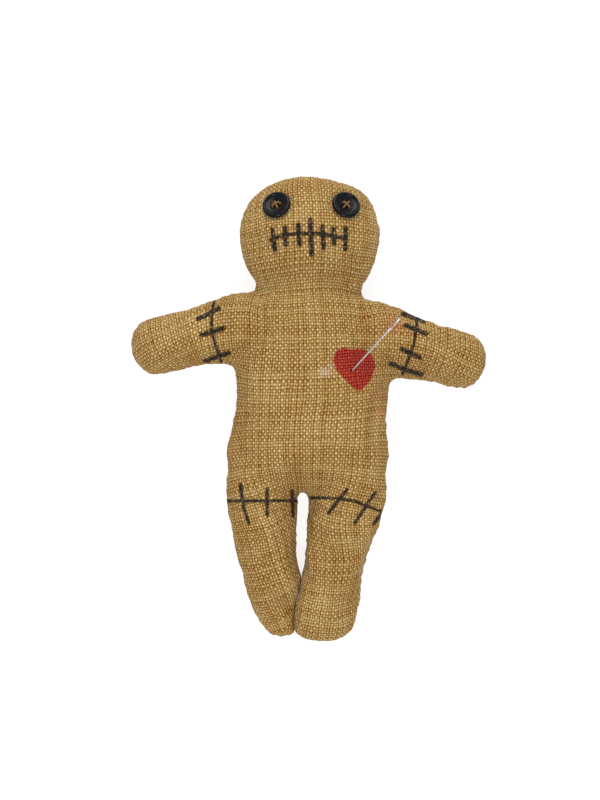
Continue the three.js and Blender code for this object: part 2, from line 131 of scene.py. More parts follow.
head_outline = [
    (-16, 0.5, 55, 33),
    (0, 0.5, 55, 38.5),
    (15, 0.5, 69.5, 44),
    (31, 0.5, 76.5, 47),
    (46, 0.2, 69, 41.5),
    (56, -0.3, 51.5, 30),
]
torso_outline = [
    (0, 0.6, 46, 38),
    (10, 0.3, 71, 40.5),
    (32, 1.0, 83, 45),
    (57, 1.1, 83, 47),
    (78, -1.0, 85.5, 47),
    (92, -1.4, 86.5, 43),
    (102.5, -2.5, 62, 28),
]


def arm_outline(length):
    return [
        (-24, 0, 38, 37),
        (-12, 0, 38.5, 34),
        (0, -0.3, 35, 28.5),
        (13, 0, 31.8, 28),
        (length - 14, 0, 31.5, 25.5),
        (length - 5, 0, 25, 18),
    ]


leg_left_outline = [
    (-24, 3, 42, 37.5),
    (-12, 3.2, 42.6, 34),
    (0, 1.2, 41.6, 31),
    (28, -4.2, 34.4, 30),
    (40, -7.0, 34.8, 29),
    (54, -10.0, 36.6, 27),
    (66, -11.4, 34.6, 22),
    (71.5, -11.5, 27.4, 14),
]
leg_right_outline = [
    (-24, -2.7, 38, 37.5),
    (-12, -2.6, 38.2, 34),
    (0, -0.8, 37.9, 31),
    (28, 2.2, 32.6, 30),
    (40, 5.3, 32.4, 28),
    (54, 6.2, 26.4, 24),
    (65, 8.8, 20.8, 17),
    (70, 9.8, 17, 11),
]
forms = [
    stuffed_form("head_form", head_outline, (63.3, 2.5), bends["head"], 90),
    stuffed_form("torso_form", torso_outline, (106.7, -4), bends["head"], -90),
    stuffed_form("arm_left_form", arm_outline(43), (43, 0), bends["arm_left"], arm_slope["arm_left"]),
    stuffed_form("arm_right_form", arm_outline(46), (46, 0), bends["arm_right"], arm_slope["arm_right"]),
    stuffed_form(
        "leg_left_form", leg_left_outline, (74.6, -10.6), bends["leg_left"], -90 + leg_spread["leg_left"]
    ),
    stuffed_form(
        "leg_right_form", leg_right_outline, (72.8, 9.4), bends["leg_right"], -90 + leg_spread["leg_right"]
    ),
]

# The bag. A front and a back panel of coarse burlap are sewn together round the edge and
# turned, so the seam runs all round the side. The panels are laid over the stuffing and
# swell under its pressure, while the seam holds them in and draws small puckers.
skin_grid = seam_height / 8.5  # puts a row of points right on the seam
seam_band = 0.45 * skin_grid
filling_pressure = 4
spare_cloth = 0.02
most_swelling = 1.5 * mm
swelling_steps = 20


def select_only(*pieces):
    """Selects these pieces and nothing else, with the first of them active."""
    bpy.ops.object.select_all(action="DESELECT")
    for piece in pieces:
        piece.select_set(True)
    bpy.context.view_layer.objects.active = pieces[0]


def apply_modifier(piece, kind, **settings):
    """Adds a modifier with these settings and applies it."""
    select_only(piece)
    modifier = piece.modifiers.new(kind.title(), kind)
    for setting, value in settings.items():
        setattr(modifier, setting, value)
    bpy.ops.object.modifier_apply(modifier=modifier.name)


def read_values(items, field, width=1, kind=float):
    """The field of every item as an array, in rows where it has more than one number."""
    flat = np.empty(len(items) * width, kind)
    items.foreach_get(field, flat)
    return flat.reshape(-1, width) if width > 1 else flat


def places(piece):
    """The piece's points as rows of x, y and z."""
    return read_values(piece.data.vertices, "co", 3)


def set_places(piece, co):
    piece.data.vertices.foreach_set("co", co.ravel())
    piece.data.update()


def smooth_step(share):
    """0 below 0, 1 above 1, and a smooth rise between."""
    share = np.clip(share, 0, 1)
    return share * share * (3 - 2 * share)


def keep_above(value, floor, softness):
    """The value held above the floor, with a soft turn into it."""
    rise = value - floor
    return floor + (rise + np.sqrt(rise * rise + softness * softness)) / 2


def turn_about(co, centre, axis, degrees, weight):
    """Turns each point about an axis by its own share of the angle."""
    axle = np.array(Vector(axis).normalized())
    lever = co - np.array(centre)
    angle = (math.radians(degrees) * weight)[:, None]
    turned = lever * np.cos(angle) + np.cross(axle, lever) * np.sin(angle)
    turned += axle * (lever @ axle)[:, None] * (1 - np.cos(angle))
    return turned + np.array(centre)


select_only(bpy.data.objects["torso_form"], *forms)
bpy.ops.object.join()
bag = bpy.context.active_object
bag.name = "bag"
apply_modifier(bag, "REMESH", mode="VOXEL", voxel_size=skin_grid)
on_seam = abs(places(bag)[:, 2] - seam_height) < seam_band
apply_modifier(bag, "SMOOTH", factor=0.5, iterations=8)
co = places(bag)
co[on_seam, 2] = seam_height
set_places(bag, co)
for edge in bag.data.edges:
    edge.use_seam = bool(on_seam[edge.vertices[0]] and on_seam[edge.vertices[1]])
seam_group = bag.vertex_groups.new(name="seam")
seam_group.add([int(i) for i in np.flatnonzero(on_seam)], 1.0, "REPLACE")

cloth = bag.modifiers.new("Cloth", "CLOTH")
cloth.settings.quality = 6
cloth.settings.tension_stiffness = 40
cloth.settings.compression_stiffness = 40
cloth.settings.shear_stiffness = 20
cloth.settings.bending_stiffness = 3
cloth.settings.use_pressure = True
cloth.settings.uniform_pressure_force = filling_pressure
cloth.settings.shrink_min = -spare_cloth
cloth.settings.vertex_group_mass = "seam"
cloth.settings.effector_weights.gravity = 0
cloth.collision_settings.use_self_collision = False
cloth.point_cache.frame_end = swelling_steps
for step in range(1, swelling_steps + 1):
    bpy.context.scene.frame_set(step)
bpy.ops.object.modifier_apply(modifier="Cloth")
swelling = places(bag) - co
far = np.linalg.norm(swelling, axis=1)
share = np.minimum(1, most_swelling / np.maximum(far, 1e-9))
set_places(bag, co + swelling * share[:, None])

# The bag at rest. The legs are pressed together, and the limbs, which are thinner than the
# trunk, droop by set angles, so that the legs lie on the floor. The doll's weight flattens its
# back on the floor.
legs_meet = -4 * mm
legs_touch = [
    # y and x of the line where the legs touch, in millimetres
    (-49, -3.3),
    (-81, -4.5),
    (-94, -4.1),
    (-103, -5.7),
    (-108, -7.4),
    (-115, -8.0),
    (-126, -7.6),
]
legs_gap = 0.1 * mm
lean = 0.15  # the left leg leans over the right one, this far per height
pressed_below = -51 * mm
press_softness = 0.5 * mm
spread_start = 12 * mm  # above the hip
spread_run = 30 * mm
leg_droop = 10.8  # degrees
arm_droop = 6
floor_softness = 0.6 * mm
crotch = -49 * mm  # just below the point where the legs part
bend_run = 34 * mm  # the length over which the head or an arm turns
leg_run = 30 * mm
shoulder = {"arm_left": 47.5 * mm, "arm_right": -43 * mm}  # where each arm leaves the trunk
neck = 64 * mm


def limb_share(co, limb):
    """How far each point belongs to the limb: 0 on the trunk, 1 past the limb's bend."""
    if limb == "head":
        return smooth_step((co[:, 1] - neck) / bend_run)
    if limb in shoulder:
        side = math.copysign(1, shoulder[limb])
        return smooth_step((co[:, 0] - shoulder[limb]) * side / bend_run) * (co[:, 1] > 0)
    return smooth_step((crotch - co[:, 1]) / leg_run) * (on_left == (limb == "leg_left"))


co = places(bag)
above_seam = co[:, 2] - seam_height
on_left = co[:, 0] > legs_meet
for leg, spread in leg_spread.items():
    share = smooth_step((bends[leg].y + spread_start - co[:, 1]) / spread_run)
    share = share * (on_left == (leg == "leg_left"))
    co = turn_about(co, bends[leg], (0, 0, 1), -spread, share)
legs = co[:, 1] < pressed_below
rows, line = np.array(legs_touch[::-1]).T * mm
touch = np.interp(co[:, 1], rows, line) - lean * above_seam
for side in (1, -1):
    leg = legs & (on_left == (side > 0))
    inward = side * (co[leg, 0] - touch[leg])
    co[leg, 0] = touch[leg] + side * keep_above(inward, legs_gap, press_softness)
flat_co = co.copy()
for limb in ("arm_left", "arm_right"):
    heading = math.radians(arm_slope[limb])
    across = (-math.sin(heading), math.cos(heading), 0)
    co = turn_about(co, bends[limb], across, arm_droop, limb_share(flat_co, limb))
for limb in ("leg_left", "leg_right"):
    co = turn_about(co, bends[limb], (1, 0, 0), leg_droop, limb_share(flat_co, limb))
co[:, 2] = keep_above(co[:, 2], 0, floor_softness)
set_places(bag, co)

# The grain. Both panels are cut square to the cloth's threads, so the weave lies straight
# along the trunk and follows the stretch of the stuffed cloth. Each panel is unrolled to
# its flat pattern, in metres, which the weave is then drawn on.
grain_turns = {"arm_left": 14, "arm_right": -12, "leg_left": -22, "leg_right": 10}  # degrees, past the bend


def keep_on_cloth(name, values):
    """Keeps a value for each of the bag's points, under this name."""
    bag.data.attributes.new(name, "FLOAT", "POINT").data.foreach_set("value", values)


select_only(bag)
bag.data.uv_layers.new(name="cloth")
bpy.ops.object.mode_set(mode="EDIT")
bpy.ops.mesh.select_all(action="SELECT")
bpy.ops.uv.unwrap(method="MINIMUM_STRETCH", iterations=30, margin=0.02)
bpy.ops.object.mode_set(mode="OBJECT")
corner_point = read_values(bag.data.loops, "vertex_index", kind=int)
pattern = read_values(bag.data.uv_layers["cloth"].data, "uv", 2)
on_front = np.zeros(len(bag.data.loops), bool)
for face in bag.data.polygons:
    middle = above_seam[list(face.vertices)].mean()
    on_front[face.loop_start : face.loop_start + face.loop_total] = middle > 0
for panel in (on_front, ~on_front):
    drawn, seen = pattern[panel], flat_co[corner_point[panel], :2]
    drawn_centre, seen_centre = drawn.mean(axis=0), seen.mean(axis=0)
    u, s, vt = np.linalg.svd((drawn - drawn_centre).T @ (seen - seen_centre))
    stretch = s.sum() / ((drawn - drawn_centre) ** 2).sum()
    pattern[panel] = (drawn - drawn_centre) @ (u @ vt) * stretch + seen_centre
for limb, turn in grain_turns.items():
    angle = math.radians(turn) * limb_share(flat_co, limb)[corner_point]
    x, y = (pattern - np.array(bends[limb][:2])).T
    pattern[:, 0] = x * np.cos(angle) - y * np.sin(angle) + bends[limb].x
    pattern[:, 1] = x * np.sin(angle) + y * np.cos(angle) + bends[limb].y
bag.data.uv_layers["cloth"].data.foreach_set("uv", pattern.ravel())

keep_on_cloth("above_seam", above_seam)
keep_on_cloth("on_left", on_left.astype(float))
apply_modifier(bag, "SUBSURF", levels=2, render_levels=2)

# The small shapes of the cloth: the seam's groove and puckers, the lumps of the filling,
# the folds at the neck, the armpits and the crotch, and the dimples at the buttons and the
# needle.
seam_groove = 0.7 * mm
groove_width = 0.9 * mm
side_band = 3 * mm  # beside the seam, where the shapes go mostly sideways
side_tilt = 0.3
pucker_depth = 0.7 * mm
pucker_reach = 5 * mm
puckers_per_metre = 420
pucker_seed = 3.0
lump_depth = 0.5 * mm
lump_length = 17 * mm
floor_clear = 0.5 * mm
floor_fade = 2 * mm
pressed_feet = -80 * mm
press_clear = 0.7 * mm
press_fade = 2.5 * mm


def normals(piece):
    return read_values(piece.data.vertices, "normal", 3)


def from_segment(points, a, b):
    """The distance of each point from the segment a-b, and how far along it lies."""
    a, b = np.array(a, float), np.array(b, float)
    run = b - a
    along = np.clip(((points - a) @ run) / (run @ run), 0, 1)
    return np.linalg.norm(points - a - along[:, None] * run, axis=1), along


co, out = places(bag), normals(bag)
above_seam = read_values(bag.data.attributes["above_seam"].data, "value")
out[:, 2] *= np.where(abs(above_seam) < side_band, side_tilt, 1)
out /= np.linalg.norm(out, axis=1)[:, None]
ripple = np.array(
    [noise.noise(Vector((p[0] * puckers_per_metre, p[1] * puckers_per_metre, pucker_seed))) for p in co]
)
lumps = np.array([noise.noise(Vector(p) / lump_length) for p in co])
rise = lump_depth * lumps
rise += pucker_depth * ripple * np.exp(-abs(above_seam) / pucker_reach)
rise -= seam_groove * np.exp(-((above_seam / groove_width) ** 2))
off_floor = smooth_step((co[:, 2] - floor_clear) / floor_fade)
beside = abs(co[:, 0] - np.interp(co[:, 1], rows, line))
apart = np.where(co[:, 1] < pressed_feet, smooth_step((beside - press_clear) / press_fade), 1)
co += out * (rise * off_floor * apart)[:, None]
front = above_seam > 0
folds = [
    # from, to, depth at each end and half width, in millimetres
    ((-31, 67.5), (-8, 68.5), 4.0, 1.4, 4.6),
    ((31, 63), (10, 68.5), 4.0, 1.4, 4.6),
    ((-14, 69), (14, 69), 3.6, 3.6, 8.0),
    ((-43, 22), (-31, 35), 1.2, 0.0, 2.8),
    ((49, 17), (37, 29), 1.2, 0.0, 2.8),
    ((-4, -48), (-4, -24), 3.6, 0.0, 6.5),
]
for start, end, deep_at_start, deep_at_end, half_width in folds:
    away, along = from_segment(co[:, :2] / mm, start, end)
    deep = deep_at_start + (deep_at_end - deep_at_start) * smooth_step(along)
    co[front, 2] -= (deep * np.exp(-((away / half_width) ** 2)))[front] * mm
eye_seats = {
    "left": (Vector((19.27, 107.56, 40.13)) * mm, Vector((0.25, 0.40, 0.882))),
    "right": (Vector((-17.02, 107.56, 40.54)) * mm, Vector((-0.23, 0.405, 0.885))),
}
seat_depth = 0.1  # the seats' sizes are in millimetres too
pull_depth = 0.5
pull_radius = 3.5
seat_radius = 12
seat_fade = 5
seat_reach = 8
for seat, facing in eye_seats.values():
    lift = (co - np.array(seat)) @ np.array(facing)
    off_axis = np.linalg.norm(co - np.array(seat) - lift[:, None] * np.array(facing), axis=1) / mm
    pulled_in = (seat_depth + pull_depth * np.exp(-((off_axis / pull_radius) ** 2))) * mm
    near = smooth_step((seat_radius - off_axis) / seat_fade) * front * (abs(lift) < seat_reach * mm)
    co -= np.array(facing) * ((lift + pulled_in) * near)[:, None]
needle_entry = Vector((22.07, 19.86, 42.74)) * mm
needle_dimple = 0.7 * mm
dimple_radius = 2.6 * mm
away = np.linalg.norm(co - np.array(needle_entry), axis=1)
co[:, 2] -= needle_dimple * np.exp(-((away / dimple_radius) ** 2))
set_places(bag, co)

# The marks. The mouth and the stitches at the shoulders and hips are drawn on the cloth with
# a charcoal-black marker, and the heart is painted red. They are laid out in millimetres as
# they look from above, and kept on the cloth as the distance from each mark's edge.
mouth_width = 2.3
line_width = 1.8
tick_width = 2.7
hip_tick_width = 2.1
mouth_line = [(-20.8, 91.4), (-13.3, 93.9), (-5.9, 94.8), (7.1, 94.8), (13.3, 93.3), (19.8, 92.0)]
drawn_lines = [
    [(-51.2, 57.9), (-52.5, 52.9), (-52.5, 41.7), (-50.6, 34.9), (-48.1, 28.1), (-47.0, 24.1)],
    [(58.1, 48.4), (57.8, 42.8), (56.2, 33.0), (52.9, 25.2), (50.6, 19.0)],
    [(-44.0, -49.7), (-6.9, -49.5)],
    [(1.1, -48.0), (9.2, -48.0), (16.4, -48.4), (24.5, -49.7), (30.7, -52.4), (38.8, -55.1)],
]
drawn_ticks = [
    [(-19.9, 96.9), (-18.4, 85.8)],
    [(-13.0, 97.9), (-12.6, 88.6)],
    [(-5.8, 99.7), (-5.2, 88.9)],
    [(0.6, 102.2), (1.4, 83.6)],
    [(7.1, 98.5), (7.9, 87.0)],
    [(13.3, 97.3), (13.5, 89.5)],
    [(19.8, 97.3), (19.7, 86.1)],
    [(-59.9, 48.6), (-48.8, 54.2)],
    [(-57.8, 40.0), (-46.0, 43.6)],
    [(-55.9, 25.9), (-43.5, 30.3)],
    [(50.8, 51.3), (62.1, 47.5)],
    [(52.2, 45.1), (63.3, 40.6)],
    [(50.3, 32.3), (59.8, 27.8)],
    [(44.4, 24.5), (51.2, 21.5), (60.8, 18.6)],
]
hip_ticks = [
    [(-36.9, -40.8), (-36.5, -45.4), (-35.1, -54.0), (-32.4, -61.8)],
    [(-22.6, -43.0), (-22.6, -57.3)],
    [(-9.1, -44.4), (-8.7, -57.8)],
    [(20.4, -43.5), (10.6, -56.1)],
    [(35.6, -45.3), (24.9, -61.4)],
    [(38.8, -56.9), (35.2, -61.8)],
]
heart_outline = [
    (13.0, 26.5),
    (14.6, 31.1),
    (18.8, 33.3),
    (22.8, 32.0),
    (26.7, 32.7),
    (32.0, 31.4),
    (34.9, 27.8),
    (35.9, 22.6),
    (33.9, 17.3),
    (30.6, 12.1),
    (26.7, 9.5),
    (23.4, 11.8),
    (18.8, 16.6),
    (14.6, 21.2),
]
red_smudges = [((46, 45), 4.5, 0.5), ((41, -3), 6, 0.35), ((38, 8), 5, 0.25)]  # place, size, strength
pale_smudges = [((8.6, 20), 2.6, 0.3), ((11.5, 22.5), 1.8, 0.2)]
# The dark spot at the needle's entry is painted shade, for the shade inside its hole.
needle_hole_place = (23.0, 20.8)
hole_shade_radius = 0.9
steepest_drawn = 0.3  # the pen fades where the cloth faces up less than this
pen_fade = 6

co = places(bag)
nearness = camera_height / (camera_height - (co[:, 2] - seam_height))
seen = (np.array(camera_centre) + (co[:, :2] - camera_centre) * nearness[:, None]) / mm
far_away = 20.0
ink = np.full(len(co), far_away)
pen_strokes = (
    (mouth_width, [mouth_line]),
    (line_width, drawn_lines),
    (tick_width, drawn_ticks),
    (hip_tick_width, hip_ticks),
)
for width, strokes in pen_strokes:
    for stroke in strokes:
        for a, b in zip(stroke, stroke[1:]):
            ink = np.minimum(ink, from_segment(seen, a, b)[0] - width / 2)
ink += pen_fade * np.clip(steepest_drawn - normals(bag)[:, 2], 0, 1)
heart = np.full(len(co), far_away)
inside = np.zeros(len(co), bool)
for a, b in zip(heart_outline, heart_outline[1:] + heart_outline[:1]):
    heart = np.minimum(heart, from_segment(seen, a, b)[0])
    crosses = (a[1] > seen[:, 1]) != (b[1] > seen[:, 1])
    if a[1] != b[1]:
        inside ^= crosses & (seen[:, 0] < (b[0] - a[0]) * (seen[:, 1] - a[1]) / (b[1] - a[1]) + a[0])
heart = np.where(inside, -heart, heart)
marks = {"ink": ink, "heart": heart, "red_smudge": np.zeros(len(co)), "pale_smudge": np.zeros(len(co))}
# Painted shade inside the needle's hole.
away = np.linalg.norm(seen - needle_hole_place, axis=1)
marks["needle_hole_shade"] = np.exp(-((away / hole_shade_radius) ** 4))
for kind, smudges in (("red_smudge", red_smudges), ("pale_smudge", pale_smudges)):
    for place, size, strength in smudges:
        away = np.linalg.norm(seen - place, axis=1)
        marks[kind] = np.maximum(marks[kind], strength * np.exp(-((away / size) ** 2)))
for kind, value in marks.items():
    nothing = far_away if kind in ("ink", "heart") else 0
    keep_on_cloth(kind, np.where(front, value, nothing))

# The bag's six parts. The cloth is one bag, and it is parted here only where it bends: at
# the neck, the shoulders and the hips. Neighbours share the line between them.
parts = ["torso", "head", "arm_left", "arm_right", "leg_left", "leg_right"]
cloth_parts = {}
kept_normals = bag.data.attributes.new("whole_normal", "FLOAT_VECTOR", "POINT")
kept_normals.data.foreach_set("vector", normals(bag).ravel())
co = places(bag)
on_left = read_values(bag.data.attributes["on_left"].data, "value")
belongs = np.full(len(bag.data.polygons), "torso", dtype="U9")
for number, face in enumerate(bag.data.polygons):
    middle = co[list(face.vertices)].mean(axis=0)
    if middle[1] > neck:
        belongs[number] = "head"
    elif middle[0] > shoulder["arm_left"] and middle[1] > 0:
        belongs[number] = "arm_left"
    elif middle[0] < shoulder["arm_right"] and middle[1] > 0:
        belongs[number] = "arm_right"
    elif middle[1] < crotch:
        belongs[number] = "leg_left" if on_left[list(face.vertices)].mean() > 0.5 else "leg_right"
for part in parts:
    piece = bag.copy()
    piece.data = bag.data.copy()
    piece.name = piece.data.name = part + "_cloth"
    bpy.context.scene.collection.objects.link(piece)
    mesh = bmesh.new()
    mesh.from_mesh(piece.data)
    mesh.faces.ensure_lookup_table()
    others = [mesh.faces[int(i)] for i in np.flatnonzero(belongs != part)]
    bmesh.ops.delete(mesh, geom=others, context="FACES")
    cuts = [edge for edge in mesh.edges if edge.is_boundary]
    lids = bmesh.ops.holes_fill(mesh, edges=cuts, sides=0)["faces"]
    bmesh.ops.recalc_face_normals(mesh, faces=mesh.faces)
    bmesh.ops.triangulate(mesh, faces=lids)
    mesh.to_mesh(piece.data)
    mesh.free()
    select_only(piece)
    bpy.ops.object.shade_smooth()
    whole_normals = read_values(piece.data.attributes["whole_normal"].data, "vector", 3)
    piece.data.normals_split_custom_set_from_vertices(whole_normals)
    piece.data.attributes.remove(piece.data.attributes["whole_normal"])
    piece.vertex_groups.clear()
    cloth_parts[part] = piece
bpy.data.objects.remove(bag)

for part, piece in cloth_parts.items():
    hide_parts(part + "_front_panel", part + "_back_panel", part + "_filling")
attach(cloth_parts["torso"], "torso")
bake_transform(cloth_parts["head"])
for arm in ("arm_left", "arm_right"):
    start = Vector((shoulder[arm], bends[arm].y, seam_height))
    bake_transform(cloth_parts[arm])
for leg in ("leg_left", "leg_right"):
    start = Vector((bends[leg].x, crotch, seam_height))
    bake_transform(cloth_parts[leg])

# The burlap. It is a coarse plain weave of uneven jute threads, about one and a half
# millimetres apart: straw-yellow along the trunk and more orange across it. The gaps between
# them and the dips of the threads are painted darker, as painted shade, and the thread tops
# paler, as painted highlight. The ink and the paint lie over the threads, and are painted
# darker where these dip, as painted shade.
warp_pitch = 1.28 * mm
weft_pitch = 1.47 * mm
thread_wander = 1.8 * mm
drifts = [(13, 4.5), (55, 1.0), (300, 0.45)]  # how many to a metre, and each one's part of the wander
thread_relief = 0.3 * mm
least_width = 0.36  # of a thread, in pitches, before its slubs and its own make add to it
slub_width = 0.6
own_width = 0.16
own_shift = 0.24
slub_rate = 0.16  # along a thread, to a pitch
slubs_apart = 7.31  # from one thread to the next, so that no two have the same slubs
thread_round = 0.28
slub_tone = 0.9
own_tone = 0.55
tone_strength = 0.56
patch_strength = 0.7
least_shade = 0.285
paint_cover = 0.98
ink_contrast = 2.4
ink_missing = 0.2
hair_height = 0.18


def add_node(tree, kind, inputs=(), **settings):
    """Adds a node with these settings. Each input is a value, or a socket to link from."""
    made = tree.nodes.new(kind)
    for setting, value in settings.items():
        setattr(made, setting, value)
    for socket, value in dict(inputs).items():
        if isinstance(value, bpy.types.NodeSocket):
            tree.links.new(value, made.inputs[socket])
        else:
            made.inputs[socket].default_value = value
    return made


def math_node(tree, operation, *values, clamp=False):
    """Adds a Math node on these values and gives its output."""
    made = add_node(tree, "ShaderNodeMath", enumerate(values), operation=operation, use_clamp=clamp)
    return made.outputs[0]


def noise_node(tree, place, scale, detail):
    """Adds a Noise Texture on this place and gives its value."""
    made = add_node(tree, "ShaderNodeTexNoise", {"Vector": place, "Scale": scale, "Detail": detail})
    return made.outputs[0]


def ramp_node(tree, factor, *stops):
    """Adds a Color Ramp through stops of (place, colour) and gives its output."""
    ramp = add_node(tree, "ShaderNodeValToRGB", {"Fac": factor})
    marks = ramp.color_ramp.elements
    while len(marks) < len(stops):
        marks.new(0.5)
    for mark, (place, colour) in zip(marks, stops):
        mark.position = place
        mark.color = (*colour, 1)
    return ramp.outputs["Color"]


def mix_colours(tree, factor, first, second, blend_type="MIX"):
    """Adds a colour Mix node and gives its output."""
    mixed = add_node(tree, "ShaderNodeMix", data_type="RGBA", blend_type=blend_type)
    for socket, value in ((mixed.inputs[0], factor), (mixed.inputs[6], first), (mixed.inputs[7], second)):
        if isinstance(value, bpy.types.NodeSocket):
            tree.links.new(value, socket)
        else:
            socket.default_value = value
    return mixed.outputs[2]


def new_group(name, inputs, outputs):
    """Makes a shader node group, and gives it with its input and output nodes."""
    group = bpy.data.node_groups.new(name, "ShaderNodeTree")
    for socket, kind in inputs.items():
        group.interface.new_socket(socket, in_out="INPUT", socket_type=kind)
    for socket, kind in outputs.items():
        group.interface.new_socket(socket, in_out="OUTPUT", socket_type=kind)
    return group, add_node(group, "NodeGroupInput"), add_node(group, "NodeGroupOutput")


def new_material(name, settings):
    """Makes a material with these settings, and gives it with its node tree and its shader."""
    made = bpy.data.materials.new(name)
    made.use_nodes = True
    shader = made.node_tree.nodes["Principled BSDF"]
    for socket, value in settings.items():
        shader.inputs[socket].default_value = value
    return made, made.node_tree, shader


weave, given, result = new_group(
    "plain_weave",
    {
        "Cloth": "NodeSocketVector",
        "Warp Pitch": "NodeSocketFloat",
        "Weft Pitch": "NodeSocketFloat",
        "Wander": "NodeSocketFloat",
    },
    {"Height": "NodeSocketFloat", "Tone": "NodeSocketFloat"},
)

# Long, middling and short drifts, each with its part of the wander, bend the threads.
flat_place = given.outputs["Cloth"]
place = flat_place
for scale, part_of_wander in drifts:
    drift = add_node(weave, "ShaderNodeTexNoise", {"Vector": flat_place, "Scale": scale, "Detail": 1})
    centred = add_node(
        weave, "ShaderNodeVectorMath", {0: drift.outputs["Color"], 1: (0.5, 0.5, 0.5)}, operation="SUBTRACT"
    )
    amount = math_node(weave, "MULTIPLY", given.outputs["Wander"], part_of_wander)
    moved = add_node(
        weave, "ShaderNodeVectorMath", {0: centred.outputs[0], "Scale": amount}, operation="SCALE"
    )
    place = add_node(weave, "ShaderNodeVectorMath", {0: place, 1: moved.outputs[0]}).outputs[0]

# Each thread has its own width, place and tone, with slubs along it, and it rises where it
# crosses over its neighbours. The higher of the two threads shows, and its tone also brightens
# at random from one crossing to the next, as painted glints.
axes = add_node(weave, "ShaderNodeSeparateXYZ", {0: place})
across_warp = math_node(weave, "DIVIDE", axes.outputs[0], given.outputs["Warp Pitch"])
across_weft = math_node(weave, "DIVIDE", axes.outputs[1], given.outputs["Weft Pitch"])
crossing = add_node(
    weave,
    "ShaderNodeCombineXYZ",
    {0: math_node(weave, "FLOOR", across_warp), 1: math_node(weave, "FLOOR", across_weft), 2: 0.0},
)
# Painted glints: each crossing is brightened by its own random amount.
crossing_glint = add_node(weave, "ShaderNodeTexWhiteNoise", {"Vector": crossing.outputs[0]}).outputs["Value"]
strands = []
thread_sets = (
    # across, along, which crossings are on top, seed, crimp, lift, painted glint tone, darker by
    (across_warp, across_weft, 1.0, 3.7, 0.46, 0.17, 0.4, 0.02),
    (across_weft, across_warp, -1.0, 91.3, 0.36, 0.25, 0.3, 0.72),
)
for across, along, sign, seed, crimped, lift, glint_tone, darker in thread_sets:
    number = math_node(weave, "FLOOR", across)
    own = add_node(
        weave, "ShaderNodeTexWhiteNoise", {"W": math_node(weave, "ADD", number, seed)}, noise_dimensions="1D"
    ).outputs["Value"]
    run = add_node(
        weave,
        "ShaderNodeCombineXYZ",
        {
            0: math_node(weave, "MULTIPLY", number, slubs_apart),
            1: math_node(weave, "MULTIPLY", along, slub_rate),
            2: seed,
        },
    )
    slub = noise_node(weave, run.outputs[0], scale=1.0, detail=2)
    slubby = math_node(weave, "MULTIPLY_ADD", slub, slub_width, least_width)
    width = math_node(weave, "MULTIPLY_ADD", own, own_width, slubby)
    centre = math_node(weave, "MULTIPLY_ADD", own, own_shift, 0.5 - own_shift / 2)
    beside_centre = math_node(weave, "SUBTRACT", math_node(weave, "FRACT", across), centre)
    offset = math_node(weave, "MULTIPLY", beside_centre, 2.0)
    side = math_node(weave, "DIVIDE", offset, width)
    round_top = math_node(weave, "SUBTRACT", 1.0, math_node(weave, "MULTIPLY", side, side))
    profile = math_node(weave, "SQRT", math_node(weave, "MAXIMUM", round_top, 0.0))
    over = math_node(weave, "SIGN", math_node(weave, "SINE", math_node(weave, "MULTIPLY", across, math.pi)))
    crimp = math_node(
        weave,
        "MULTIPLY",
        math_node(weave, "MULTIPLY", over, sign),
        math_node(weave, "SINE", math_node(weave, "MULTIPLY", along, math.pi)),
    )
    height = math_node(weave, "MULTIPLY_ADD", profile, thread_round, lift)
    height = math_node(weave, "MULTIPLY_ADD", crimp, crimped, height)
    covered = math_node(weave, "GREATER_THAN", round_top, 0.0)
    height = math_node(weave, "MULTIPLY_ADD", covered, math_node(weave, "ADD", height, 1.0), -1.0)
    tone = math_node(weave, "MULTIPLY_ADD", own, own_tone, math_node(weave, "MULTIPLY", slub, slub_tone))
    tone = math_node(weave, "MULTIPLY_ADD", crossing_glint, glint_tone, math_node(weave, "SUBTRACT", tone, darker))
    strands.append((height, tone))
(warp_height, warp_tone), (weft_height, weft_tone) = strands
warp_on_top = math_node(weave, "GREATER_THAN", warp_height, weft_height)
top = math_node(weave, "MAXIMUM", warp_height, weft_height)
weave.links.new(math_node(weave, "MULTIPLY_ADD", top, 0.5, 0.5, clamp=True), result.inputs["Height"])
tone_gap = math_node(weave, "SUBTRACT", warp_tone, weft_tone)
weave.links.new(math_node(weave, "MULTIPLY_ADD", tone_gap, warp_on_top, weft_tone), result.inputs["Tone"])

burlap, tree, shader = new_material(
    "burlap",
    {
        "Roughness": 0.9,
        "Sheen Weight": 0.12,
        "Sheen Roughness": 0.3,
        "Sheen Tint": (1.0, 0.9, 0.75, 1),
        "Specular IOR Level": 0.05,
    },
)
cloth_map = add_node(tree, "ShaderNodeUVMap", uv_map="cloth").outputs[0]
woven = add_node(tree, "ShaderNodeGroup", node_tree=weave)
tree.links.new(cloth_map, woven.inputs["Cloth"])
for socket, size in {"Warp Pitch": warp_pitch, "Weft Pitch": weft_pitch, "Wander": thread_wander}.items():
    woven.inputs[socket].default_value = size
height, tone = woven.outputs["Height"], woven.outputs["Tone"]
# The cloth's colour follows the thread height: painted shade in the gaps and dips, and a painted highlight
# on the crossing tops.
bare = ramp_node(
    tree,
    height,
    (0.0, (0.150, 0.040, 0.002)),
    (0.5, (0.170, 0.049, 0.003)),
    (0.62, (0.232, 0.092, 0.010)),
    (0.74, (0.300, 0.165, 0.039)),
    (0.88, (0.378, 0.243, 0.082)),
    (0.97, (0.57, 0.45, 0.235)),
)

# A paler thread is also less red, and a darker one more so.
patches = noise_node(tree, cloth_map, scale=38, detail=3)
patchy = math_node(tree, "MULTIPLY_ADD", patches, patch_strength, least_shade)
shade = math_node(tree, "MULTIPLY_ADD", tone, tone_strength, patchy)
warm = math_node(tree, "POWER", shade, 0.6)
pale = math_node(tree, "POWER", shade, 1.6)
shade_colour = add_node(tree, "ShaderNodeCombineXYZ", {0: warm, 1: shade, 2: pale}).outputs[0]
cloth_colour = mix_colours(tree, 1.0, bare, shade_colour, "MULTIPLY")

smear = noise_node(tree, cloth_map, scale=620, detail=2)


